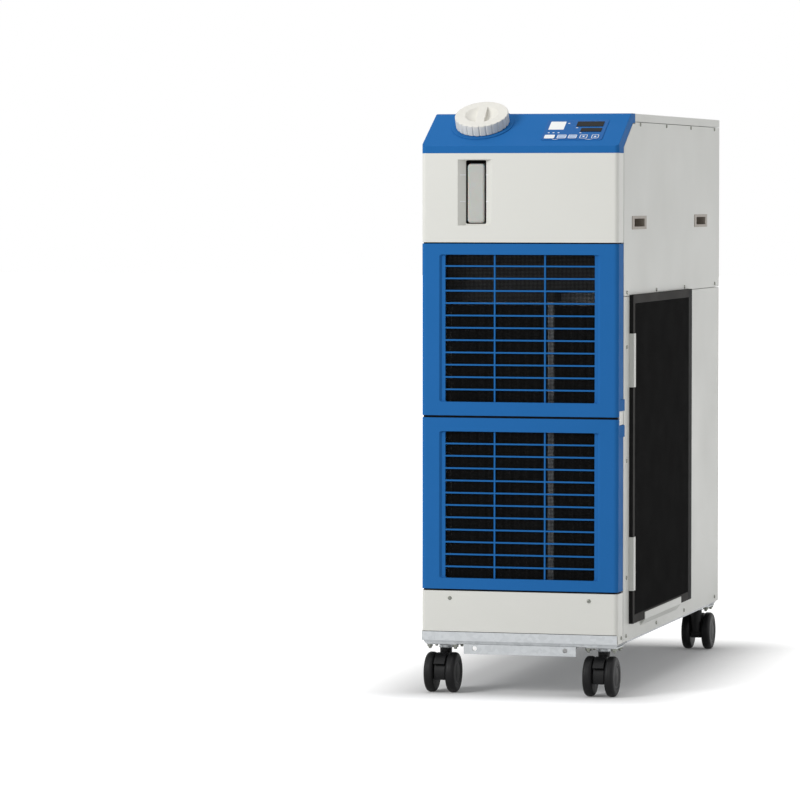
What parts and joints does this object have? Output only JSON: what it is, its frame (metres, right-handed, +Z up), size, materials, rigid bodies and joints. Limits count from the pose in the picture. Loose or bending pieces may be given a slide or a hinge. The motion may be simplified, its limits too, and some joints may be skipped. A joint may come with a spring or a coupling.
{
  "type": "water chiller",
  "caption": "Upright air-cooled water chiller cabinet on twin-wheel casters, with a sloped control hood, a screw filler cap, a level window and front air grilles.",
  "frame": {"origin": "on the floor under the middle of the cabinet, the bottom centre of the bounding box", "axes": "+Z up; the control side faces -Y; +X is to the right of someone who looks at the front"},
  "size_m": [0.3926, 0.985, 1.1025],
  "materials": {
    "blue_plastic": "moulded plastic with a soft gloss, mid blue",
    "blue_overlay": "printed film, mid blue",
    "dark_window": "glossy black display window",
    "key_plastic": "raised film keys",
    "white_paint": "warm white satin paint",
    "grey_paint": "light grey satin paint",
    "galvanised_steel": "galvanised sheet steel",
    "black_frame": "black moulded filter frame with a black net",
    "dark_grey_steel": "dark grey painted sheet",
    "black_net": "black woven dust net",
    "fin_aluminium": "thin aluminium fins",
    "clear_grey_plastic": "translucent grey plastic",
    "pocket_plastic": "brown grey moulded plastic",
    "white_plastic": "off-white moulded plastic",
    "black_rubber": "matt black rubber",
    "caster_nylon": "black moulded nylon",
    "brass": "machined brass",
    "black_plastic": "black moulded plastic"
  },
  "bodies": {
    "chiller": {"anchor_brackets": "galvanised_steel", "base_rails": "galvanised_steel", "base_tray": "galvanised_steel", "caster_plates": "galvanised_steel", "catch_blocks": "white_paint", "condenser_coil": "fin_aluminium", "control_hood": "blue_plastic", "control_panel": "blue_overlay", "corner_posts": "galvanised_steel", "cross_channels": "galvanised_steel", "display_windows": "dark_window", "dust_nets": "black_net", "electrical_box": "dark_grey_steel", "filler_neck": "white_plastic", "filter_clips": "grey_paint", "filter_ledges": "grey_paint", "front_bulkhead": "galvanised_steel", "front_lower_panel": "white_paint", "front_upper_panel": "white_paint", "grille_frame_lower": "blue_plastic", "grille_frame_upper": "blue_plastic", "key_pads": "key_plastic", "level_tube": "clear_grey_plastic", "lift_pockets": "pocket_plastic", "power_gland": "black_plastic", "rear_panel_lower": "grey_paint", "rear_panel_upper": "grey_paint", "side_filter_left": "black_frame", "side_filter_right": "black_frame", "side_panel_lower_left": "grey_paint", "side_panel_lower_right": "grey_paint", "side_panel_upper_left": "grey_paint", "side_panel_upper_right": "grey_paint", "top_cover": "grey_paint", "water_ports": "brass"},
    "cap_seal": {"cap_gasket": "black_rubber"},
    "filler_cap": {"filler_cap": "white_plastic"},
    "caster_front_left": {"caster_housing_front_left": "caster_nylon"},
    "wheels_front_left": {"caster_wheels_front_left": "caster_nylon"},
    "caster_front_right": {"caster_housing_front_right": "caster_nylon"},
    "wheels_front_right": {"caster_wheels_front_right": "caster_nylon"},
    "caster_rear_left": {"caster_housing_rear_left": "caster_nylon"},
    "wheels_rear_left": {"caster_wheels_rear_left": "caster_nylon"},
    "caster_rear_right": {"caster_housing_rear_right": "caster_nylon"},
    "wheels_rear_right": {"caster_wheels_rear_right": "caster_nylon"}
  },
  "joints": [
    {"name": "cap_lift", "type": "slide", "parent": "chiller", "child": "cap_seal", "axis": [0, -0.4827, 0.8758], "range_m": [0, 0.0091]},
    {"name": "cap_turn", "type": "hinge", "parent": "cap_seal", "child": "filler_cap", "pos_m": [-0.08815, -0.40498, 1.05943], "axis": [0, -0.4827, 0.8758], "range_deg": [0, 540]},
    {"name": "swivel_front_left", "type": "hinge", "parent": "chiller", "child": "caster_front_left", "pos_m": [-0.1516, -0.4325, 0.0816], "axis": [0, 0, 1], "continuous": true},
    {"name": "roll_front_left", "type": "hinge", "parent": "caster_front_left", "child": "wheels_front_left", "pos_m": [-0.1516, -0.455, 0.0375], "axis": [1, 0, 0], "continuous": true},
    {"name": "swivel_front_right", "type": "hinge", "parent": "chiller", "child": "caster_front_right", "pos_m": [0.1516, -0.4325, 0.0816], "axis": [0, 0, 1], "continuous": true},
    {"name": "roll_front_right", "type": "hinge", "parent": "caster_front_right", "child": "wheels_front_right", "pos_m": [0.1516, -0.455, 0.0375], "axis": [1, 0, 0], "continuous": true},
    {"name": "swivel_rear_left", "type": "hinge", "parent": "chiller", "child": "caster_rear_left", "pos_m": [-0.1516, 0.4325, 0.0816], "axis": [0, 0, 1], "continuous": true},
    {"name": "roll_rear_left", "type": "hinge", "parent": "caster_rear_left", "child": "wheels_rear_left", "pos_m": [-0.1516, 0.455, 0.0375], "axis": [1, 0, 0], "continuous": true},
    {"name": "swivel_rear_right", "type": "hinge", "parent": "chiller", "child": "caster_rear_right", "pos_m": [0.1516, 0.4325, 0.0816], "axis": [0, 0, 1], "continuous": true},
    {"name": "roll_rear_right", "type": "hinge", "parent": "caster_rear_right", "child": "wheels_rear_right", "pos_m": [0.1516, 0.455, 0.0375], "axis": [1, 0, 0], "continuous": true}
  ],
  "couplings": [
    {"joint": "cap_lift", "follows": "cap_turn", "m_per_rad": 0.00095493}
  ]
}
